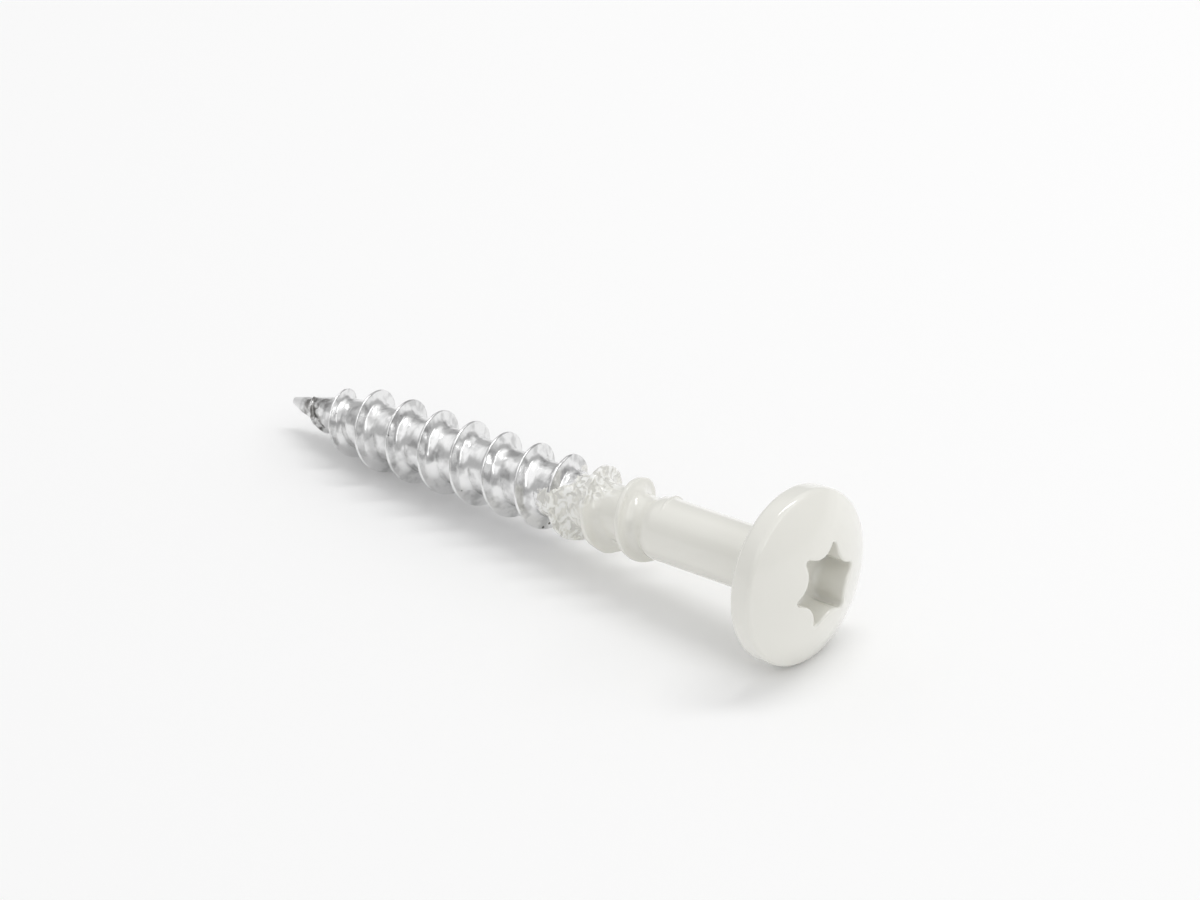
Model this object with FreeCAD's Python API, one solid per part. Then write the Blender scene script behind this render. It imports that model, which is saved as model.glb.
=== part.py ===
import FreeCAD, Part
import math
import os

from FreeCAD import Vector

# Facade screw, one piece of cold-formed stainless steel, lying as it comes to rest.
# Local axis: x = 0 is the bearing face under the head, x grows toward the tip.
# All sizes in millimetres.

# Head: a low dome with a rounded rim over a flat annular bearing face.
head_dia = 12.0
head_height = 3.5
dome_radius = 10.3
rim_round = 0.5
bearing_edge_round = 0.42

# Hexalobular drive recess.
lobe_span = 5.5
lobe_waist = 3.98
lobe_tip_radius = 0.3
recess_depth = 1.9
recess_cone_depth = 0.35
lobe_turn = 18.0

# Collar and plain shank under the head.
collar_dia = 5.7
collar_height = 0.65
collar_round = 0.25
shank_dia = 4.36
shank_length = 10.6
shank_shoulder = 0.55
neck_fillet = 0.2

# Coarse single-start right-hand thread.
length = 45.0
pitch = 3.0
thread_dia = 5.6
core_dia = 3.7
crest_width = 0.12
flank_width = 0.30
foot_width = 0.30
runout_start = 9.7
runout_length = 3.5

# Point: the core narrows along a curve, and the crest narrows sooner.
point_length = 8.1
point_blunt_dia = 0.5
crest_taper_length = 8.6
first_turn_setback = 1.6

# Number of flat facets around one turn of the thread.
turn_facets = 28

R_HEAD = head_dia / 2
R_SHANK = shank_dia / 2
R_CREST = thread_dia / 2
R_CORE = core_dia / 2
THREAD_END = length - first_turn_setback
BODY_END = shank_length - pitch


def dome_point(r):
    """Height of the dome above the bearing face at radius r."""
    return head_height - dome_radius + math.sqrt(dome_radius ** 2 - r ** 2)


def rim_centre():
    """Height of the centre of the rounding between the rim and the dome."""
    reach = dome_radius - rim_round
    side = R_HEAD - rim_round
    return head_height - dome_radius + math.sqrt(reach ** 2 - side ** 2)


def arc(a, b, c):
    return Part.Arc(Vector(*a), Vector(*b), Vector(*c)).toShape()


def line(a, b):
    return Part.makeLine(Vector(*a), Vector(*b))


def on_circle(cx, cy, r, degrees):
    t = math.radians(degrees)
    return (cx + r * math.cos(t), cy + r * math.sin(t), 0)


def head_and_shank():
    """Turned profile from the dome to the end of the smooth shank, revolved about the axis."""
    zc = rim_centre()
    lean = math.degrees(math.atan2(zc - head_height + dome_radius, R_HEAD - rim_round))
    rim_a = on_circle(-zc, R_HEAD - rim_round, rim_round, 90)
    rim_m = on_circle(-zc, R_HEAD - rim_round, rim_round, 90 + lean / 2)
    rim_b = on_circle(-zc, R_HEAD - rim_round, rim_round, 90 + lean)
    half = rim_b[1] / 2
    dome_m = (-dome_point(half), half, 0)
    apex = (-head_height, 0, 0)
    e = bearing_edge_round
    edge_m = on_circle(-e, R_HEAD - e, e, 45)
    rc = collar_dia / 2
    q = collar_round
    f = neck_fillet
    col_a = (collar_height - q, rc, 0)
    col_m = on_circle(collar_height - q, rc - q, q, 45)
    col_b = (collar_height, rc - q, 0)
    neck_a = (collar_height, R_SHANK + f, 0)
    neck_m = on_circle(collar_height + f, R_SHANK + f, f, 225)
    neck_b = (collar_height + f, R_SHANK, 0)
    edges = [
        arc(apex, dome_m, rim_b),
        arc(rim_b, rim_m, rim_a),
        line(rim_a, (-e, R_HEAD, 0)),
        arc((-e, R_HEAD, 0), edge_m, (0, R_HEAD - e, 0)),
        line((0, R_HEAD - e, 0), (0, rc, 0)),
        line((0, rc, 0), col_a),
        arc(col_a, col_m, col_b),
        line(col_b, neck_a),
        arc(neck_a, neck_m, neck_b),
        line(neck_b, (BODY_END, R_SHANK, 0)),
        line((BODY_END, R_SHANK, 0), (BODY_END, 0, 0)),
        line((BODY_END, 0, 0), apex),
    ]
    face = Part.Face(Part.Wire(edges))
    return face.revolve(Vector(0, 0, 0), Vector(1, 0, 0), 360)


def face_arc(a, b, c):
    """Arc in a plane square to the screw's axis."""
    return Part.Arc(Vector(0, a[0], a[1]), Vector(0, b[0], b[1]), Vector(0, c[0], c[1])).toShape()


def lobe_outline():
    """Outline of the recess: six small outward arcs joined by six large inward arcs."""
    a = lobe_span / 2 - lobe_tip_radius
    b = lobe_waist / 2
    c = math.cos(math.pi / 6)
    over = a * a + b * b - 2 * a * b * c - lobe_tip_radius ** 2
    waist_radius = over / (2 * (lobe_tip_radius + a * c - b))
    swing = math.degrees(math.atan2((b + waist_radius) / 2, (b + waist_radius) * c - a))
    edges = []
    for k in range(6):
        turn = 60.0 * k + lobe_turn
        here = on_circle(0, 0, a, turn)
        after = on_circle(0, 0, a, turn + 60)
        start = on_circle(here[0], here[1], lobe_tip_radius, turn - swing)
        top = on_circle(here[0], here[1], lobe_tip_radius, turn)
        end = on_circle(here[0], here[1], lobe_tip_radius, turn + swing)
        low = on_circle(0, 0, b, turn + 30)
        following = on_circle(after[0], after[1], lobe_tip_radius, turn + 60 - swing)
        edges.append(face_arc(start, top, end))
        edges.append(face_arc(end, low, following))
    return Part.Wire(edges)


def recess():
    """The drive recess: a lobed pocket that ends in a shallow cone."""
    floor = recess_depth - dome_point(lobe_span / 2)
    pocket = Part.Face(lobe_outline()).extrude(Vector(2 * head_height, 0, 0))
    pocket.translate(Vector(floor - 2 * head_height, 0, 0))
    axis = Vector(1, 0, 0)
    cone = Part.makeCone(lobe_waist / 2, 0.1, recess_cone_depth, Vector(floor, 0, 0), axis)
    return pocket.fuse(cone)


def body_radius(x):
    """Radius of the shank, its shoulder and the core, without the thread."""
    if x <= shank_length:
        return R_SHANK
    if x < shank_length + shank_shoulder:
        t = (x - shank_length) / shank_shoulder
        return R_SHANK - (R_SHANK - R_CORE) * (3 - 2 * t) * t * t
    t = max(0.0, (x - length + point_length) / point_length)
    return R_CORE - (R_CORE - point_blunt_dia / 2) * min(1.0, t) ** 1.4


def crest_radius(x):
    """Radius of the thread's crest, which rises out of the shank and sinks into the point."""
    rise = min(1.0, max(0.0, (x - runout_start) / runout_length))
    fall = min(1.0, max(0.0, (x - THREAD_END + crest_taper_length - first_turn_setback) /
                        (crest_taper_length - first_turn_setback)))
    top = R_CREST - (R_CREST - R_SHANK) * (1 - rise) ** 1.6
    return top - (top - body_radius(THREAD_END)) * fall ** 1.7


def thread_section(x):
    """Points of one pitch of the thread in an axial plane, as (axial, radial), about a crest at x."""
    height = max(0.0, crest_radius(x) - body_radius(x))
    if x < runout_start:
        height = 0.0
    slim = max(0.3, min(1.0, height / (R_CREST - R_CORE)))
    mid = crest_width / 2 + 0.45 * flank_width
    low = crest_width / 2 + 0.80 * flank_width + 0.35 * foot_width
    foot = crest_width / 2 + flank_width + foot_width
    spread = [(pitch / 2, 0.0), (foot * slim, 0.0), (low * slim, 0.2), (mid * slim, 0.55)]
    spread.append((crest_width / 2 * slim, 1.0))
    rows = []
    for w, share in [(-w, s) for w, s in spread] + spread[:0:-1]:
        ground = body_radius(x + w)
        rows.append((x + w, ground + share * (body_radius(x) + height - ground)))
    return rows


def thread_net():
    """Corner points and triangles of the threaded length, closed at the shank and at the tip."""
    first = runout_start - 0.2
    count = int(math.ceil((THREAD_END - first) / pitch * turn_facets))
    points = []
    index = {}
    for i in range(count + turn_facets + 1):
        a = 2 * math.pi * (first / pitch + i / turn_facets)
        x = first + pitch * i / turn_facets
        section = thread_section(x) if i <= count else thread_section(x)[:1]
        for k, (p, r) in enumerate(section):
            index[i, k] = len(points)
            points.append(Vector(p, r * math.cos(a), r * math.sin(a)))
    width = len(thread_section(first))
    ring = []
    for i in range(turn_facets):
        a = 2 * math.pi * (first / pitch + i / turn_facets)
        ring.append(len(points))
        points.append(Vector(BODY_END, R_SHANK * math.cos(a), R_SHANK * math.sin(a)))
    hub = len(points)
    points.append(Vector(BODY_END, 0, 0))
    tip = len(points)
    points.append(Vector(length, 0, 0))
    faces = []
    for i in range(count):
        for k in range(width):
            a = index[i, k]
            b = index[i + 1, k]
            c = index[i + 1, k + 1] if k + 1 < width else index[i + 1 + turn_facets, 0]
            d = index[i, k + 1] if k + 1 < width else index[i + turn_facets, 0]
            faces += [(a, b, c), (a, c, d)]
    for i in range(turn_facets):
        j = (i + 1) % turn_facets
        faces.append((hub, ring[j], ring[i]))
        if i + 1 < turn_facets:
            faces += [(ring[i], ring[j], index[i + 1, 0]), (ring[i], index[i + 1, 0], index[i, 0])]
    chain = [ring[0]] + [index[0, k] for k in range(width)] + [index[turn_facets, 0]]
    near = index[turn_facets - 1, 0]
    last = ring[-1]
    faces.append((last, ring[0], near))
    faces += [(near, a, b) for a, b in zip(chain, chain[1:])]
    for i in range(1, turn_facets):
        faces.append((tip, index[count + i, 0], index[count + i + 1, 0]))
    chain = [index[count, k] for k in range(width)] + [index[count + turn_facets, 0], tip]
    near = index[count + 1, 0]
    faces += [(near, b, a) for a, b in zip(chain, chain[1:])]
    return points, faces


def threaded_length():
    points, faces = thread_net()
    shell = Part.Shape()
    shell.makeShapeFromMesh((points, faces), 1e-5)
    return Part.Solid(Part.Shell(shell.Faces))


def contact_tilt(roll):
    """Lean of the axis in degrees when the screw, rolled by this angle, rests on rim and crests."""
    leans = []
    k = int(shank_length / pitch)
    while True:
        x = pitch * (k + (270.0 - roll) / 360.0)
        if x > THREAD_END:
            return min(leans)
        leans.append(math.degrees(math.atan2(R_HEAD - crest_radius(x), x + rim_centre())))
        k += 1


def resting_roll():
    """Roll at which the centre of mass lies lowest, where two neighbouring crests touch."""
    return max(range(0, 360, 2), key=contact_tilt)


def lie_down(shape):
    roll = resting_roll()
    lean = contact_tilt(roll)
    shape.rotate(Vector(0, 0, 0), Vector(1, 0, 0), roll)
    shape.rotate(Vector(0, 0, 0), Vector(0, 1, 0), lean)
    corners = shape.tessellate(0.02)[0]
    xs = [p.x for p in corners]
    shape.translate(Vector(-(min(xs) + max(xs)) / 2, 0, -min(p.z for p in corners)))
    return shape


def main():
    body = head_and_shank().cut(recess())
    screw = body.fuse(threaded_length())
    screw = Part.Solid(screw.Solids[0].OuterShell)
    os.makedirs("parts", exist_ok=True)
    lie_down(screw).exportStep("parts/facade_screw.step")


main()
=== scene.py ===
import math

import bmesh
import bpy
from mathutils import Matrix, Vector, noise


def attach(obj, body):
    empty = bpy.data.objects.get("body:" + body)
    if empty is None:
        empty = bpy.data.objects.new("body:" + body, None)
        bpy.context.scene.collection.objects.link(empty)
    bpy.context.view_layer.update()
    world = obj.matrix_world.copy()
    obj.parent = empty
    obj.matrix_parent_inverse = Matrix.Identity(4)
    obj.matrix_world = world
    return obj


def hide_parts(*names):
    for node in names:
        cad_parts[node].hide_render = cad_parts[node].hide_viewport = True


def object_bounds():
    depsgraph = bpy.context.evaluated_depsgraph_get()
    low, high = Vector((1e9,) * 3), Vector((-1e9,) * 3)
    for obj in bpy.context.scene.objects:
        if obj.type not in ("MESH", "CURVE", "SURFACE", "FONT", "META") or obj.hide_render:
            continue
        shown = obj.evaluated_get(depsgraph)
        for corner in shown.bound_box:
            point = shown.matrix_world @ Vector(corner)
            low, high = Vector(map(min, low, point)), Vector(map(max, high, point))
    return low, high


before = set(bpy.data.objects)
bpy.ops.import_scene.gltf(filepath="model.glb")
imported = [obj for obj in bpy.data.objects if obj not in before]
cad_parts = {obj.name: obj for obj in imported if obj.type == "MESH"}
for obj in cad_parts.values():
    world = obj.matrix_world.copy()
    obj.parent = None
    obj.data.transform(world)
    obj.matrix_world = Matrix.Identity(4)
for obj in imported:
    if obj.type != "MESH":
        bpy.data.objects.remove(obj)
CAD_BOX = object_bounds()

bl_info = {
    "name": "Facade screw",
    "version": (1, 0, 0),
    "blender": (4, 5, 0),
    "location": "View3D > Sidebar > Screw",
    "description": "Builds a lacquered facade screw lying on a white table",
    "category": "Object",
}

MM = 0.001
# Faces around the screw, turns of thread, and how near two points have to be to become one.
COLUMNS = 144
TURNS = 12
MERGE = 0.002 * MM
TABLE_HALF = 3.0


def rgb(code):
    """Linear colour from an sRGB hex code."""
    parts = [int(code[i:i + 2], 16) / 255 for i in (0, 2, 4)]
    return [c / 12.92 if c <= 0.04045 else ((c + 0.055) / 1.055) ** 2.4 for c in parts] + [1.0]


def length(name, about, mm):
    """A size, given in millimetres."""
    return bpy.props.FloatProperty(name=name, description=about, default=mm * MM, unit="LENGTH", precision=5)


def angle(name, about, degrees):
    """An angle, given in degrees."""
    value = math.radians(degrees)
    return bpy.props.FloatProperty(name=name, description=about, default=value, subtype="ANGLE")


def amount(name, about, value):
    """A brightness, where 1 is white."""
    return bpy.props.FloatProperty(name=name, description=about, default=value, subtype="FACTOR")


def colour(name, about, code):
    """A colour, given as an sRGB hex code."""
    value = rgb(code)
    return bpy.props.FloatVectorProperty(name=name, description=about, default=value, size=4, subtype="COLOR")


class ScrewHead(bpy.types.PropertyGroup):
    """Sizes of the head, the drive recess and the collar under the head."""

    dia: length("Diameter", "Across the head", 12.0)
    height: length("Height", "Top of the dome above the bearing face", 3.5)
    dome: length("Dome radius", "Radius of the domed face", 10.3)
    rim_round: length("Rim rounding", "Rounding between the rim and the dome", 0.5)
    edge_round: length("Lower edge", "Rounding between the rim and the bearing face", 0.42)
    lobe_span: length("Lobe span", "Recess across its lobes", 5.5)
    lobe_waist: length("Lobe waist", "Recess across its waists", 3.98)
    lobe_tip: length("Lobe tip", "Radius at the end of a lobe", 0.3)
    lobe_turn: angle("Lobe turn", "Turn of the recess about the axis", 18.0)
    depth: length("Recess depth", "Depth of the recess's wall below the dome", 2.2)
    cone: length("Recess cone", "Depth of the cone under the wall", 0.1)
    lip: length("Recess lip", "Rounding of the lacquered lip of the recess", 0.16)
    pool: length("Recess pool", "Rounding where lacquer pools at the recess's floor", 0.45)
    collar_dia: length("Collar", "Across the collar", 5.7)
    collar_height: length("Collar height", "Height of the collar", 0.65)
    collar_round: length("Collar edge", "Rounding of the collar's edge", 0.25)
    neck: length("Neck", "Hollow between the collar and the shank", 0.2)


class ScrewThread(bpy.types.PropertyGroup):
    """Sizes of the shank, the thread and the point."""

    shank: length("Shank", "Diameter of the plain shank", 4.36)
    shank_end: length("Shank length", "From the bearing face to the shoulder", 10.6)
    shoulder: length("Shoulder", "Length of the step down to the core", 0.55)
    length: length("Length", "From the bearing face to the tip", 45.0)
    pitch: length("Pitch", "Advance of the thread in one turn", 3.0)
    crest: length("Thread diameter", "Across the crests", 5.6)
    core: length("Core diameter", "Across the core", 3.7)
    crest_width: length("Crest width", "Width of the crest's land", 0.12)
    flank: length("Flank width", "Axial width of one flank", 0.30)
    foot: length("Foot width", "Axial width of the hollow at a flank's foot", 0.30)
    runout: length("Run-out", "Where the crest leaves the shank, from the bearing face", 9.7)
    runout_length: length("Run-out length", "Over which the crest rises", 3.5)
    point: length("Point length", "Length of the narrowing core", 8.1)
    blunt: length("Tip diameter", "Across the blunt tip", 0.5)
    taper: length("Crest taper", "Over which the crest narrows, from the tip", 8.6)
    setback: length("First turn", "Where the thread starts behind the tip", 1.6)


class ScrewFinish(bpy.types.PropertyGroup):
    """The lacquer and the bare steel."""

    lacquer: colour("Lacquer", "Colour of the lacquer", "EAE9E2")
    steel: colour("Steel", "Colour of the bare steel", "EEEEEE")
    pit: colour("Pit", "Colour inside the steel's pits", "4A4743")
    coat_end: length("Lacquer ends", "Where the lacquer gives out, from the bearing face", 19.9)
    crinkle: length("Crinkled length", "Length of the crinkled stretch before the lacquer's end", 3.9)
    bead: length("Bead", "Lacquer that widens each side of a crest", 0.11)


class ScrewStage(bpy.types.PropertyGroup):
    """The table, the lights and the camera."""

    table: colour("Table", "Colour of the table", "FBFBFB")
    ambient: amount("Ambient", "Even light of the room, where 1 is white", 0.73)
    slope: amount("Slope", "How much more light comes from the bright side", 0.04)
    ceiling: amount("Ceiling", "Brightness of the ceiling in reflections", 1.06)
    walls: amount("Walls", "Brightness of the walls in reflections", 0.48)
    horizon: amount("Horizon", "Brightness beyond the table in reflections", 0.9)
    backdrop: amount("Backdrop", "Brightness beyond the table as the camera sees it", 0.96)
    heading: angle("Heading", "The screw's direction, from the camera's right", 138.7)
    elevation: angle("Elevation", "Camera above the table", 30.796)
    distance: length("Distance", "Camera from the middle of the picture", 283.478)
    tilt: angle("Camera tilt", "Turn of the camera about its view", -0.753)
    lens: bpy.props.FloatProperty(
        name="Lens", description="Focal length on a 36 mm sensor", default=120.276, unit="CAMERA")
    aside: bpy.props.FloatVectorProperty(
        name="Aside", description="Bearing face from the middle of the picture, right and away",
        size=2, unit="LENGTH", default=(11.972 * MM, -25.54 * MM))


def step(x, start, end):
    """0 before the start, 1 past the end, and a straight line between them."""
    return min(1.0, max(0.0, (x - start) / (end - start)))


def dome_level(head, r):
    """Height of the dome above the bearing face at radius r."""
    return head.height - head.dome + math.sqrt(head.dome ** 2 - r ** 2)


def rim_middle(head):
    """Height of the centre of the rim's rounding above the bearing face."""
    side = head.dia / 2 - head.rim_round
    return head.height - head.dome + math.sqrt((head.dome - head.rim_round) ** 2 - side ** 2)


def lobe_radius(head, around):
    """Radius of the recess's outline: small outward arcs at the lobes, large inward arcs between them."""
    a = head.lobe_span / 2 - head.lobe_tip
    b = head.lobe_waist / 2
    c = math.cos(math.pi / 6)
    waist = (a * a + b * b - 2 * a * b * c - head.lobe_tip ** 2) / (2 * (head.lobe_tip + a * c - b))
    off = (around - head.lobe_turn) % (math.pi / 3)
    off = min(off, math.pi / 3 - off)
    reach = b + waist
    swing = math.atan2(reach / 2, reach * c - a)
    edge = math.atan2(head.lobe_tip * math.sin(swing), a + head.lobe_tip * math.cos(swing))
    if off < edge:
        return a * math.cos(off) + math.sqrt(head.lobe_tip ** 2 - (a * math.sin(off)) ** 2)
    away = math.pi / 6 - off
    return reach * math.cos(away) - math.sqrt(max(0.0, waist ** 2 - (reach * math.sin(away)) ** 2))


def arc(across, out, radius, start, end, count):
    """Points of an arc in the axial plane, by its centre, radius and two angles in degrees."""
    turns = [math.radians(start + (end - start) * i / count) for i in range(count + 1)]
    return [(across + radius * math.cos(t), out + radius * math.sin(t)) for t in turns]


def recess_outline(head, star):
    """From the bottom of the recess up its wall to the lip, where the wall stands at the radius star."""
    floor = head.depth - dome_level(head, head.lobe_span / 2)
    pool = head.pool
    rows = [(floor + head.cone * (1 - s), (star - pool) * s) for s in (0.01, 0.3, 0.6, 0.85)]
    rows += arc(floor - pool, star - pool, pool, 0, 90, 9)
    rows += [(floor - pool - (head.depth - pool - head.lip) * s, star) for s in (0.3, 0.65)]
    lip = star + head.lip
    rows += arc(head.lip - dome_level(head, lip), lip, head.lip, 270, 180, 6)
    return rows


def head_outline(head, star):
    """From the lip of the recess over the dome and the rim to the bearing face and the collar."""
    side = head.dia / 2 - head.rim_round
    middle = rim_middle(head)
    lean = math.degrees(math.atan2(middle - head.height + head.dome, side))
    rim = arc(-middle, side, head.rim_round, 90 + lean, 90, 12)
    lip = star + head.lip
    dome = [lip + (rim[0][1] - lip) * i / 16 for i in range(1, 16)]
    rows = [(-dome_level(head, r), r) for r in dome] + rim
    edge = head.edge_round
    flat = head.dia / 2 - edge
    rows.append((-(middle + edge) / 2, head.dia / 2))
    rows += arc(-edge, flat, edge, 90, 0, 8)
    collar = head.collar_dia / 2 + head.neck
    rows += [(0.0, flat + (collar - flat) * i / 6) for i in range(1, 6)]
    rows += arc(head.neck, collar, head.neck, 180, 270, 4)
    bend = head.collar_round
    rows += arc(head.collar_height - bend, collar - head.neck - bend, bend, 90, 0, 6)
    return rows


def shank_outline(head, thread):
    """From the collar to where the thread takes over."""
    shank = thread.shank / 2
    rows = arc(head.collar_height + head.neck, shank + head.neck, head.neck, 180, 270, 5)
    start = rows[-1][0]
    end = shank_ring(thread)
    rows += [(start + (end - start) * s, shank) for s in (0.2, 0.5, 1.0)]
    return rows


def screw_outline(head, thread, around):
    """From the bottom of the recess to the thread, at one angle around the axis."""
    star = lobe_radius(head, around)
    return recess_outline(head, star) + head_outline(head, star) + shank_outline(head, thread)


def body_level(thread, x):
    """Radius of the shank, its shoulder, the core and the point."""
    shank, core = thread.shank / 2, thread.core / 2
    if x < thread.shank_end + thread.shoulder:
        t = step(x, thread.shank_end, thread.shank_end + thread.shoulder)
        return shank - (shank - core) * (3 - 2 * t) * t * t
    return core - (core - thread.blunt / 2) * step(x, thread.length - thread.point, thread.length) ** 1.4


def crest_level(thread, x):
    """Radius of the crest, which rises out of the shank and sinks into the point."""
    end = thread.length - thread.setback
    rise = step(x, thread.runout, thread.runout + thread.runout_length)
    top = thread.crest / 2 - (thread.crest - thread.shank) / 2 * (1 - rise) ** 1.6
    return top - (top - body_level(thread, end)) * step(x, thread.length - thread.taper, end) ** 1.7


def contact_lean(head, thread, roll):
    """Fall of the axis toward the tip when the screw, at this roll in degrees, rests on rim and crests."""
    leans = []
    turn = int(thread.shank_end / thread.pitch)
    while True:
        x = thread.pitch * (turn + (270 - roll) / 360)
        if x > thread.length - thread.setback:
            return min(leans)
        leans.append(math.atan2(head.dia / 2 - crest_level(thread, x), x + rim_middle(head)))
        turn += 1


def resting(head, thread):
    """Where the bearing face's centre lies, and the lean and roll at which two neighbouring crests touch."""
    roll = max(range(0, 360, 2), key=lambda degrees: contact_lean(head, thread, degrees))
    lean = contact_lean(head, thread, roll)
    edge = head.edge_round
    height = (head.dia / 2 - edge) * math.cos(lean) + edge - edge * math.sin(lean)
    seat = Vector((CAD_BOX[1][0] - thread.length * math.cos(lean), 0, height))
    return seat, lean, math.radians(roll)


def placing(seat, lean, roll):
    """From the screw's own axis to where it lies."""
    return Matrix.Translation(seat) @ Matrix.Rotation(lean, 4, "Y") @ Matrix.Rotation(roll, 4, "X")


def coat_share(finish, x):
    """1 where the lacquer lies thick, 0 on bare steel."""
    return 1.0 - step(x, finish.coat_end - finish.crinkle, finish.coat_end)


def thread_stations():
    """One pitch of the thread: how far from the crest, and how high on the flank.

    Up to 1 the first number counts land, flank and foot, and from 1 to 2 the core to half a pitch.
    """
    half = [(2.0, 0.0), (1.65, 0.0), (1.3, 0.0)]
    for i in range(11):
        t = i / 10
        half.append((1.0 - t, t - 0.10 * math.sin(math.pi * t) * (1 - t)))
    crest = [(-0.5, 1.015)]
    return [(-1, a, s) for a, s in half + crest] + [(1, a, s) for a, s in (half + crest)[::-1]]


def thread_point(thread, finish, x, side, away, share):
    """Axial and radial place of one station of the thread about a crest at x."""
    height = max(0.0, crest_level(thread, x) - body_level(thread, x)) if x > thread.runout else 0.0
    slim = max(0.3, min(1.0, height / ((thread.crest - thread.core) / 2)))
    land = thread.crest_width / 2 * slim
    wide = land + (thread.flank + thread.foot) * slim
    if away > 1:
        reach = wide + (thread.pitch / 2 - wide) * (away - 1)
    elif away > 0:
        reach = land + thread.flank * slim * away + thread.foot * slim * away ** 4
    else:
        reach = land * (1 + away)
    swell = (1 - 0.75 * step(away, 0.05, 0.4)) * (1 - step(away, 1.3, 2.0))
    reach += finish.bead * coat_share(finish, x) * slim * swell
    ground = body_level(thread, x + side * reach)
    return x + side * reach, ground + share * (body_level(thread, x) + height - ground)


def thread_start(thread):
    """Where the first section of the thread stands: whole turns before the last, still flat on the shank."""
    last = math.floor((thread.length - thread.setback) / thread.pitch * COLUMNS)
    return (last / COLUMNS - TURNS) * thread.pitch


def shank_ring(thread):
    """Where the spun shank and the thread's own skin meet."""
    return thread_start(thread) - 0.6 * thread.pitch


def place(v, x, r):
    """Moves a vertex along the axis and out from it, and keeps its direction."""
    flat = Vector((0, v.co.y, v.co.z))
    v.co = Vector((x, 0, 0)) + flat.normalized() * r


def only(geometry, kind):
    """The vertices or the edges among mixed geometry."""
    return [g for g in geometry if isinstance(g, kind)]


def spin_head(bm, head, thread):
    """Spins the outline from the recess to the shank, and draws the recess in to its six lobes."""
    station = bm.verts.layers.float.new("station")
    chain = []
    for k, (x, r) in enumerate(screw_outline(head, thread, 0.0)):
        v = bm.verts.new((x, r, 0))
        v[station] = k
        chain.append(v)
    edges = [bm.edges.new(pair) for pair in zip(chain, chain[1:])]
    bmesh.ops.spin(bm, geom=chain + edges, cent=(0, 0, 0), axis=(1, 0, 0), angle=2 * math.pi,
                   steps=COLUMNS, use_merge=True)
    outlines = [screw_outline(head, thread, 2 * math.pi * i / COLUMNS) for i in range(COLUMNS)]
    for v in bm.verts:
        column = round(math.atan2(v.co.z, v.co.y) / (2 * math.pi) * COLUMNS) % COLUMNS
        place(v, *outlines[column][round(v[station])])


def spin_thread(bm, thread, finish):
    """Spins one pitch of the thread's outline along its helix, and shapes each section to its place."""
    side, away, share = (bm.verts.layers.float.new(n) for n in ("side", "away", "share"))
    start = thread_start(thread)
    turn = Matrix.Rotation(2 * math.pi * start / thread.pitch, 3, "X")
    chain = []
    for s, a, h in thread_stations():
        v = bm.verts.new(turn @ Vector((start, thread.core, 0)))
        v[side], v[away], v[share] = s, a, h
        chain.append(v)
    edges = [bm.edges.new(pair) for pair in zip(chain, chain[1:])]
    bmesh.ops.spin(bm, geom=chain + edges, cent=(0, 0, 0), axis=(1, 0, 0), angle=2 * math.pi,
                   steps=COLUMNS, dvec=(thread.pitch / COLUMNS, 0, 0))
    first_turn = bm.verts[:] + bm.edges[:] + bm.faces[:]
    for k in range(1, TURNS):
        copy = bmesh.ops.duplicate(bm, geom=first_turn)["geom"]
        bmesh.ops.translate(bm, verts=only(copy, bmesh.types.BMVert), vec=(thread.pitch * k, 0, 0))
    for v in bm.verts:
        place(v, *thread_point(thread, finish, v.co.x, v[side], v[away], v[share]))
    bmesh.ops.remove_doubles(bm, verts=bm.verts, dist=MERGE)


def open_loops(bm):
    """The open edges at the start and at the end of the thread."""
    edges = [e for e in bm.edges if e.is_boundary]
    middle = sum(v.co.x for e in edges for v in e.verts) / (2 * len(edges))
    return [e for e in edges if e.verts[0].co.x < middle], [e for e in edges if e.verts[0].co.x >= middle]


def extrude_open(bm, edges):
    """Extrudes open edges and returns the new edges and vertices."""
    out = bmesh.ops.extrude_edge_only(bm, edges=edges)["geom"]
    return only(out, bmesh.types.BMEdge), only(out, bmesh.types.BMVert)


def close_thread(bm, thread):
    """Carries the thread's first edge back to the shank's ring, and its last edge along the point."""
    start, end = open_loops(bm)
    fresh = extrude_open(bm, start)[1]
    for v in fresh:
        place(v, shank_ring(thread), thread.shank / 2)
    near_tip = thread.length - 0.05 * MM
    for share in (0.25, 0.33, 0.5, 0.8):
        end, fresh = extrude_open(bm, end)
        for v in fresh:
            x = v.co.x + (near_tip - v.co.x) * share
            place(v, x, body_level(thread, x))
    end, fresh = extrude_open(bm, end)
    for v in fresh:
        place(v, thread.length, thread.blunt * 0.3)


def batter(bm, thread, finish):
    """Lacquer pools and wrinkles toward its end, and the first turns at the tip are a little battered."""
    # noise_vector draws from a seed, and this one gives the same dents each time.
    noise.seed_set(5)
    for v in bm.verts:
        spot = v.co / MM
        x = v.co.x
        if x < thread.runout:
            continue
        out = Vector((0, v.co.y, v.co.z)).normalized() * MM
        thick = step(x, thread.runout, thread.runout + 3 * MM)
        thick *= 1 - step(x, finish.coat_end, finish.coat_end + 1.5 * MM)
        wrinkled = thick * step(x, finish.coat_end - finish.crinkle, finish.coat_end - finish.crinkle / 2)
        v.co += out * (thick * (0.06 * noise.noise(spot * 0.8) + 0.03 * noise.noise(spot * 2.1)))
        v.co += out * (wrinkled * 0.03 * noise.noise(spot * 2.8))
        worn = step(x, thread.length - 6 * MM, thread.length - 3 * MM)
        worn *= 1 - step(x, thread.length - 1 * MM, thread.length)
        v.co += worn * 0.12 * MM * noise.noise_vector(spot * 0.8 + Vector((3, 7, 1)))
        v.co += worn * 0.05 * MM * noise.noise_vector(spot * 2.4)


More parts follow.
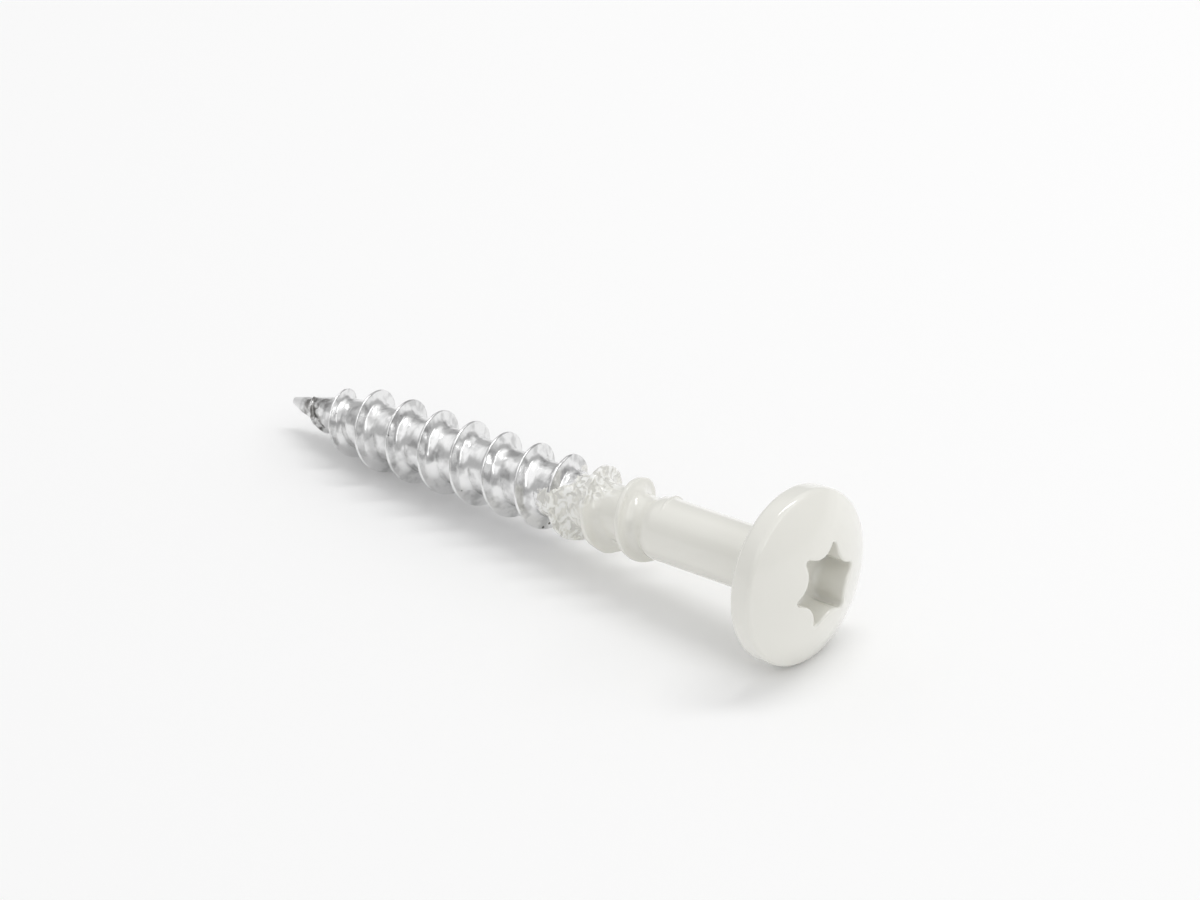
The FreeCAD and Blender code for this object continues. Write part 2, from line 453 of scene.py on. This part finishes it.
class Nodes:
    """Adds nodes to one material or world."""

    def __init__(self, owner):
        owner.use_nodes = True
        self.tree = owner.node_tree
        self.tree.nodes.clear()

    def add(self, kind, links=None, values=None, **settings):
        """Adds a node, sets its own settings and its inputs' values, and links the rest of its inputs."""
        node = self.tree.nodes.new(kind)
        for key, value in settings.items():
            setattr(node, key, value)
        for key, value in (values or {}).items():
            node.inputs[key].default_value = value
        for key, source in (links or {}).items():
            self.tree.links.new(source, node.inputs[key])
        return node

    def maths(self, operation, *inputs):
        """One sum on numbers and sockets."""
        values = {i: v for i, v in enumerate(inputs) if isinstance(v, (int, float))}
        links = {i: v for i, v in enumerate(inputs) if not isinstance(v, (int, float))}
        return self.add("ShaderNodeMath", links, values, operation=operation).outputs[0]

    def ramp(self, source, start, end, low=0.0, high=1.0):
        """A straight ramp from low to high between start and end, and flat outside them."""
        values = {"From Min": start, "From Max": end, "To Min": low, "To Max": high}
        return self.add("ShaderNodeMapRange", {"Value": source}, values, clamp=True).outputs["Result"]

    def noise(self, place, scale, detail=2.0, roughness=0.5, distortion=0.0):
        """Noise from 0 to 1 over a place in millimetres, so the scale counts its waves in a millimetre."""
        values = {"Scale": scale, "Detail": detail, "Roughness": roughness, "Distortion": distortion}
        return self.add("ShaderNodeTexNoise", {"Vector": place}, values).outputs["Fac"]

    def mix(self, share, first, second):
        """Mixes two colours, each a socket or a linear colour."""
        node = self.add("ShaderNodeMix", data_type="RGBA")
        for key, value in ((0, share), (6, first), (7, second)):
            if isinstance(value, bpy.types.NodeSocket):
                self.tree.links.new(value, node.inputs[key])
            else:
                node.inputs[key].default_value = value
        return node.outputs[2]


def own_place(n, seat, lean):
    """The screw's own place in millimetres: X runs from the bearing face to the tip."""
    spot = n.add("ShaderNodeTexCoord").outputs["Object"]
    values = {"Location": seat, "Rotation": (0, lean, 0), "Scale": (MM, MM, MM)}
    return n.add("ShaderNodeMapping", {"Vector": spot}, values, vector_type="TEXTURE").outputs["Vector"]


def lacquer_shader(n, own, nearing, finish):
    """Warm white gloss lacquer, baked: smooth on the head, crinkled near its end, with a painted highlight on
    the crinkle's ridges and painted shade in its hollows.
    """
    craze = n.noise(own, 1.9, 1.5, 0.5, 1.0)
    ridges = n.maths("MULTIPLY", n.ramp(craze, 0.40, 0.58), nearing)
    peel = n.maths("MULTIPLY", n.noise(own, 0.6, 0.0), 0.25)
    height = n.maths("ADD", ridges, peel)
    bump = n.add("ShaderNodeBump", {"Height": height}, {"Strength": 1.0, "Distance": 0.05 * MM})
    # Painted highlight: the crinkle's ridge tops are coloured paler than the lacquer.
    crinkle_highlight = n.maths("MULTIPLY", n.ramp(craze, 0.49, 0.56), nearing)
    # Painted shade: the crinkle's hollows are coloured darker than the lacquer.
    hollow = n.maths("MULTIPLY", n.ramp(craze, 0.47, 0.40), nearing)
    tone = n.mix(crinkle_highlight, list(finish.lacquer), rgb("FAFAF7"))
    tone = n.mix(hollow, tone, rgb("D8D7D2"))
    return n.add("ShaderNodeBsdfPrincipled", {"Base Color": tone, "Normal": bump.outputs[0]},
                 {"Roughness": 0.10, "IOR": 1.5, "Coat Weight": 0.8, "Coat Roughness": 0.04}).outputs[0]


def steel_shader(n, own, axial, past, finish, thread):
    """Stainless steel, bright from the thread rolls: soft dents, grain round the thread, small dark pits."""
    along = n.add("ShaderNodeMapping", {"Vector": own}, {"Scale": (9.0, 0.7, 0.7)}).outputs["Vector"]
    grain = n.noise(along, 1.0, 3.0)
    dents = n.noise(own, 0.8, 1.5, 0.45)
    # The first turn at the tip is scuffed and darker.
    tip = thread.length / MM
    scuff = n.maths("MULTIPLY", n.ramp(axial, tip - 5.0, tip - 3.2), n.ramp(axial, tip - 0.9, tip - 1.7))
    spots = n.add("ShaderNodeTexVoronoi", {"Vector": own}, {"Scale": 1.5}, feature="F1").outputs["Distance"]
    where = n.ramp(n.noise(own, 0.7, 0.0), 0.46, 0.62)
    size = n.maths("MULTIPLY", where, n.ramp(past, -4.0, 0.0, 0.07, 0.16))
    pit = n.maths("LESS_THAN", spots, n.maths("ADD", size, n.maths("MULTIPLY", scuff, 0.10)))
    smear = n.ramp(n.noise(own, 1.3, 3.0, 0.6), 0.46, 0.60)
    blotch = n.maths("MULTIPLY", smear, n.maths("MULTIPLY", scuff, 0.8))
    cloud = n.ramp(n.noise(own, 1.0, 2.0, 0.5), 0.48, 0.64, 0.0, 0.6)
    tone = n.mix(cloud, list(finish.steel), rgb("AEAEAE"))
    tone = n.mix(blotch, tone, rgb("6A6865"))
    tone = n.mix(pit, tone, list(finish.pit))
    rough = n.maths("ADD", n.maths("MULTIPLY", grain, 0.12), n.ramp(axial, tip - 2.0, tip - 1.2, 0.13, 0.5))
    relief = n.maths("ADD", n.maths("MULTIPLY", grain, 0.04), dents)
    bump = n.add("ShaderNodeBump", {"Height": relief}, {"Strength": 1.0, "Distance": 0.10 * MM}).outputs[0]
    return n.add("ShaderNodeBsdfPrincipled", {"Base Color": tone, "Roughness": rough, "Normal": bump},
                 {"Metallic": 1.0}).outputs[0]


def lacquered_steel(finish, thread, seat, lean):
    """Cold-rolled stainless steel, lacquered from the head to the first turns of the thread."""
    material = bpy.data.materials.new("Gloss lacquer over cold-rolled stainless steel")
    n = Nodes(material)
    own = own_place(n, seat, lean)
    across = n.add("ShaderNodeSeparateXYZ", {"Vector": own}).outputs
    # The lacquer's end wanders by half a millimetre, is worn back on top and breaks up into 0.4 mm flecks.
    worn = n.ramp(across["Z"], 1.0, 1.7, 0.0, 2.2)
    wander = n.maths("MULTIPLY", n.noise(own, 0.35, 1.0), 0.9)
    end = n.maths("SUBTRACT", n.maths("ADD", wander, finish.coat_end / MM - 0.45), worn)
    past = n.maths("SUBTRACT", end, across["X"])
    fleck = n.maths("SUBTRACT", n.noise(own, 2.4, 3.0, 0.6, 0.8), 0.5)
    coat = n.ramp(n.maths("ADD", past, n.maths("MULTIPLY", fleck, 2.0)), -0.06, 0.06)
    nearing = n.ramp(past, finish.crinkle / MM, finish.crinkle / MM * 0.7)
    lacquer = lacquer_shader(n, own, nearing, finish)
    steel = steel_shader(n, own, across["X"], past, finish, thread)
    both = n.add("ShaderNodeMixShader", {0: coat, 1: steel, 2: lacquer})
    n.add("ShaderNodeOutputMaterial", {"Surface": both.outputs[0]})
    return material


def white_card(stage):
    """Matt white card, which keeps the screw's soft shadow."""
    material = bpy.data.materials.new("Matt white card")
    n = Nodes(material)
    card = n.add("ShaderNodeBsdfPrincipled", {},
                 {"Base Color": stage.table, "Roughness": 0.85, "Specular IOR Level": 0.1})
    n.add("ShaderNodeOutputMaterial", {"Surface": card.outputs[0]})
    return material


def new_object(scene, name, bm, material):
    """Makes an object of the scene from a finished bmesh."""
    mesh = bpy.data.meshes.new(name)
    bm.to_mesh(mesh)
    bm.free()
    mesh.materials.append(material)
    made = bpy.data.objects.new(name, mesh)
    scene.collection.objects.link(made)
    return made


class SCREW_OT_build(bpy.types.Operator):
    """Build the screw in one piece, with its lacquer"""

    bl_idname = "screw.build"
    bl_label = "Facade screw"

    def execute(self, context):
        scene = context.scene
        thread, finish = scene.screw_thread, scene.screw_finish
        seat, lean, roll = resting(scene.screw_head, thread)
        bm = bmesh.new()
        spin_thread(bm, thread, finish)
        close_thread(bm, thread)
        batter(bm, thread, finish)
        head = bmesh.new()
        spin_head(head, scene.screw_head, thread)
        shank = bpy.data.meshes.new("head and shank")
        head.to_mesh(shank)
        head.free()
        bm.from_mesh(shank)
        bpy.data.meshes.remove(shank)
        bmesh.ops.remove_doubles(bm, verts=bm.verts, dist=MERGE)
        bmesh.ops.holes_fill(bm, edges=[e for e in bm.edges if e.is_boundary], sides=0)
        bmesh.ops.recalc_face_normals(bm, faces=bm.faces)
        loose = [e for e in bm.edges if not e.is_manifold]
        if loose:
            raise RuntimeError(f"{len(loose)} open edges in the screw, the first at {loose[0].verts[0].co}")
        bm.transform(placing(seat, lean, roll))
        for face in bm.faces:
            face.smooth = True
        screw = new_object(scene, "facade_screw_finish", bm, lacquered_steel(finish, thread, seat, lean))
        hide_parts("facade_screw")
        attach(screw, "root")
        return {"FINISHED"}


def softbox(scene, name, spot, along, width, height, watts):
    """A lamp that faces the middle of the table, with its width laid along a direction."""
    data = bpy.data.lights.new(name, "AREA")
    data.shape = "RECTANGLE"
    data.size, data.size_y = width, height
    data.energy = watts
    made = bpy.data.objects.new(name, data)
    back = spot.normalized()
    side = (along - back * along.dot(back)).normalized()
    facing = Matrix((side, back.cross(side), back)).transposed().to_4x4()
    made.matrix_world = Matrix.Translation(spot) @ facing
    scene.collection.objects.link(made)


def pale_room(scene, stage, bright_side):
    """Pale light, stronger from one side; gloss shows a bright ceiling, dimmer walls and a bright horizon."""
    world = bpy.data.worlds.new("Pale room")
    n = Nodes(world)
    spot = n.add("ShaderNodeTexCoord").outputs["Generated"]
    height = n.add("ShaderNodeSeparateXYZ", {"Vector": spot}).outputs["Z"]
    near = n.ramp(height, 0.04, 0.16, stage.horizon, stage.walls)
    above = n.ramp(height, 0.50, 0.72, 0.0, stage.ceiling - stage.walls)
    path = n.add("ShaderNodeLightPath").outputs
    shown = n.maths("MULTIPLY", n.maths("ADD", near, above), path["Is Glossy Ray"])
    side = n.add("ShaderNodeVectorMath", {0: spot}, {1: bright_side}, operation="DOT_PRODUCT")
    pale = n.maths("MULTIPLY_ADD", side.outputs["Value"], stage.slope, stage.ambient)
    even = n.maths("MULTIPLY", n.maths("SUBTRACT", 1.0, path["Is Glossy Ray"]), pale)
    beyond = n.maths("MULTIPLY", path["Is Camera Ray"], stage.backdrop - stage.ambient)
    light = n.maths("ADD", n.maths("ADD", shown, even), beyond)
    room = n.add("ShaderNodeBackground", {"Strength": light}, {"Color": rgb("FFFFFF")})
    n.add("ShaderNodeOutputWorld", {"Surface": room.outputs[0]})
    scene.world = world


class SCREW_OT_stage(bpy.types.Operator):
    """Make the table, the lights and the camera"""

    bl_idname = "screw.stage"
    bl_label = "Table, lights and camera"

    def execute(self, context):
        scene = context.scene
        stage = scene.screw_stage
        turn = Matrix.Rotation(-stage.heading, 4, "Z")
        right = turn @ Vector((1, 0, 0))
        away = turn @ Vector((0, 1, 0))
        up = Vector((0, 0, 1))
        seat = resting(scene.screw_head, scene.screw_thread)[0]
        middle = Vector((seat.x, seat.y, 0)) - right * stage.aside[0] - away * stage.aside[1]
        back = up * math.sin(stage.elevation) - away * math.cos(stage.elevation)
        head_up = up * math.cos(stage.elevation) + away * math.sin(stage.elevation)
        lens = bpy.data.cameras.new("Camera")
        lens.lens = stage.lens
        lens.sensor_width = 36.0
        lens.clip_start, lens.clip_end = 0.01, 20.0
        camera = bpy.data.objects.new("Camera", lens)
        level = Matrix((right, head_up, back)).transposed().to_4x4()
        eye = Matrix.Translation(middle + back * stage.distance)
        camera.matrix_world = eye @ level @ Matrix.Rotation(stage.tilt, 4, "Z")
        scene.collection.objects.link(camera)
        scene.camera = camera
        bm = bmesh.new()
        bmesh.ops.create_grid(bm, x_segments=1, y_segments=1, size=TABLE_HALF)
        table = new_object(scene, "table", bm, white_card(stage))
        above = away * 0.15 + right * 0.15 + up * 0.58
        softbox(scene, "Softbox above", above, along=right, width=0.45, height=0.12, watts=0.95)
        beside = right * 0.388 - away * 0.202 + up * 0.371
        slant = away * 0.712 + right * 0.370
        softbox(scene, "Long light to the right", beside, along=slant, width=0.8, height=0.06, watts=0.30)
        pale_room(scene, stage, right * 0.9 + away * 0.43)
        scene.view_settings.view_transform = "Standard"
        return {"FINISHED"}


class SCREW_PT_panel(bpy.types.Panel):
    """Sizes, finish and the buttons that build the scene"""

    bl_label = "Facade screw"
    bl_idname = "SCREW_PT_panel"
    bl_space_type = "VIEW_3D"
    bl_region_type = "UI"
    bl_category = "Screw"

    def draw(self, context):
        for name, group in GROUPS.items():
            box = self.layout.box()
            for size in group.__annotations__:
                box.prop(getattr(context.scene, name), size)
        self.layout.operator("screw.build")
        self.layout.operator("screw.stage")


GROUPS = {
    "screw_head": ScrewHead,
    "screw_thread": ScrewThread,
    "screw_finish": ScrewFinish,
    "screw_stage": ScrewStage,
}
CLASSES = (*GROUPS.values(), SCREW_OT_build, SCREW_OT_stage, SCREW_PT_panel)


def register():
    for cls in CLASSES:
        bpy.utils.register_class(cls)
    for name, group in GROUPS.items():
        setattr(bpy.types.Scene, name, bpy.props.PointerProperty(type=group))


def unregister():
    for name in GROUPS:
        delattr(bpy.types.Scene, name)
    for cls in reversed(CLASSES):
        bpy.utils.unregister_class(cls)


def main():
    register()
    bpy.ops.screw.build()
    bpy.ops.screw.stage()


if __name__ == "__main__":
    main()
